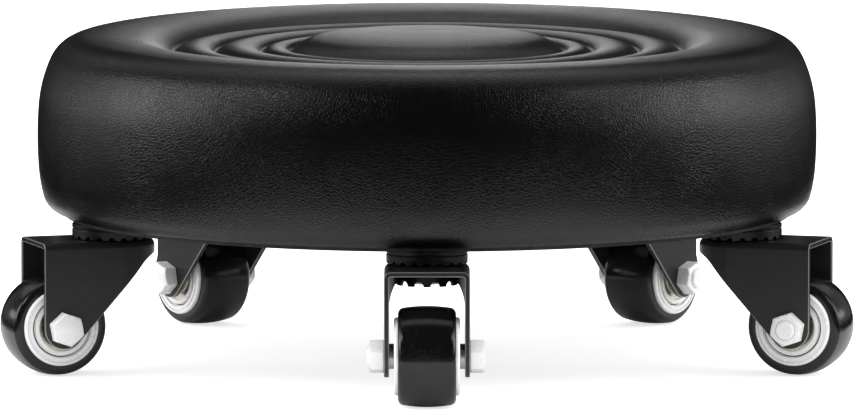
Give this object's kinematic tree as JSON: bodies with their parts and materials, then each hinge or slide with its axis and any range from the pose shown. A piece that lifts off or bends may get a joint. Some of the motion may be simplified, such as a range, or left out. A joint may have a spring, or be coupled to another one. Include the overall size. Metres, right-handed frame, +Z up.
{
  "type": "creeper seat",
  "caption": "Low round rolling seat: a thick black padded cushion with ringed relief and a raised centre, on swivel casters with forked sheet-steel mounts.",
  "frame": {"origin": "on the floor, under the seat's axis", "axes": "+Z up along the seat's axis; the first caster trails towards -Y, the side that faces the viewer; +X is to the viewer's right"},
  "size_m": [0.343, 0.3355, 0.135],
  "materials": {
    "cover_leather": "black leatherette, fine grain, soft sheen",
    "foam": "open-cell foam",
    "plywood": "sanded plywood",
    "base_hardboard": "dark stained hardboard, matt",
    "staple_steel": "galvanised wire",
    "screw_steel": "zinc-plated steel",
    "stem_steel": "zinc-plated steel",
    "cup_black": "black powder coat, satin",
    "fork_black": "black powder coat, satin",
    "ball_steel": "polished ball steel, greased",
    "bolt_zinc": "bright zinc plate",
    "sleeve_steel": "turned steel",
    "tyre_black": "smooth black polyurethane, soft gloss",
    "core_bright": "bright turned metal",
    "bearing_steel": "bright rings and shields, slightly yellow"
  },
  "bodies": {
    "seat": {"seat_cover": "cover_leather", "seat_foam": "foam", "seat_board": "plywood", "base_cover": "base_hardboard", "cover_staples": "staple_steel", "base_screws": "screw_steel", "caster_stems": "stem_steel", "tee_nuts": "screw_steel", "upper_cup_1": "cup_black", "lower_cup_1": "cup_black", "upper_cup_2": "cup_black", "lower_cup_2": "cup_black", "upper_cup_3": "cup_black", "lower_cup_3": "cup_black", "upper_cup_4": "cup_black", "lower_cup_4": "cup_black", "upper_cup_5": "cup_black", "lower_cup_5": "cup_black"},
    "swivel_1": {"fork_1": "fork_black", "swivel_balls_1": "ball_steel", "axle_bolt_1": "bolt_zinc", "axle_nut_1": "bolt_zinc", "axle_sleeve_1": "sleeve_steel"},
    "wheel_1": {"tyre_1": "tyre_black", "wheel_core_1": "core_bright", "bearings_1": "bearing_steel"},
    "swivel_2": {"fork_2": "fork_black", "swivel_balls_2": "ball_steel", "axle_bolt_2": "bolt_zinc", "axle_nut_2": "bolt_zinc", "axle_sleeve_2": "sleeve_steel"},
    "wheel_2": {"tyre_2": "tyre_black", "wheel_core_2": "core_bright", "bearings_2": "bearing_steel"},
    "swivel_3": {"fork_3": "fork_black", "swivel_balls_3": "ball_steel", "axle_bolt_3": "bolt_zinc", "axle_nut_3": "bolt_zinc", "axle_sleeve_3": "sleeve_steel"},
    "wheel_3": {"tyre_3": "tyre_black", "wheel_core_3": "core_bright", "bearings_3": "bearing_steel"},
    "swivel_4": {"fork_4": "fork_black", "swivel_balls_4": "ball_steel", "axle_bolt_4": "bolt_zinc", "axle_nut_4": "bolt_zinc", "axle_sleeve_4": "sleeve_steel"},
    "wheel_4": {"tyre_4": "tyre_black", "wheel_core_4": "core_bright", "bearings_4": "bearing_steel"},
    "swivel_5": {"fork_5": "fork_black", "swivel_balls_5": "ball_steel", "axle_bolt_5": "bolt_zinc", "axle_nut_5": "bolt_zinc", "axle_sleeve_5": "sleeve_steel"},
    "wheel_5": {"tyre_5": "tyre_black", "wheel_core_5": "core_bright", "bearings_5": "bearing_steel"}
  },
  "joints": [
    {"name": "caster_1_swivel", "type": "hinge", "parent": "seat", "child": "swivel_1", "pos_m": [0, -0.133, 0.0543], "axis": [0, 0, 1], "continuous": true},
    {"name": "caster_1_roll", "type": "hinge", "parent": "swivel_1", "child": "wheel_1", "pos_m": [0, -0.158, 0.02], "axis": [1, 0, 0], "continuous": true},
    {"name": "caster_2_swivel", "type": "hinge", "parent": "seat", "child": "swivel_2", "pos_m": [0.12649, -0.0411, 0.0543], "axis": [0, 0, 1], "continuous": true},
    {"name": "caster_2_roll", "type": "hinge", "parent": "swivel_2", "child": "wheel_2", "pos_m": [0.15027, -0.04882, 0.02], "axis": [0.309, 0.9511, 0], "continuous": true},
    {"name": "caster_3_swivel", "type": "hinge", "parent": "seat", "child": "swivel_3", "pos_m": [0.07818, 0.1076, 0.0543], "axis": [0, 0, 1], "continuous": true},
    {"name": "caster_3_roll", "type": "hinge", "parent": "swivel_3", "child": "wheel_3", "pos_m": [0.09287, 0.12782, 0.02], "axis": [-0.809, 0.5878, 0], "continuous": true},
    {"name": "caster_4_swivel", "type": "hinge", "parent": "seat", "child": "swivel_4", "pos_m": [-0.07818, 0.1076, 0.0543], "axis": [0, 0, 1], "continuous": true},
    {"name": "caster_4_roll", "type": "hinge", "parent": "swivel_4", "child": "wheel_4", "pos_m": [-0.09287, 0.12782, 0.02], "axis": [-0.809, -0.5878, 0], "continuous": true},
    {"name": "caster_5_swivel", "type": "hinge", "parent": "seat", "child": "swivel_5", "pos_m": [-0.12649, -0.0411, 0.0543], "axis": [0, 0, 1], "continuous": true},
    {"name": "caster_5_roll", "type": "hinge", "parent": "swivel_5", "child": "wheel_5", "pos_m": [-0.15027, -0.04882, 0.02], "axis": [0.309, -0.9511, 0], "continuous": true}
  ]
}
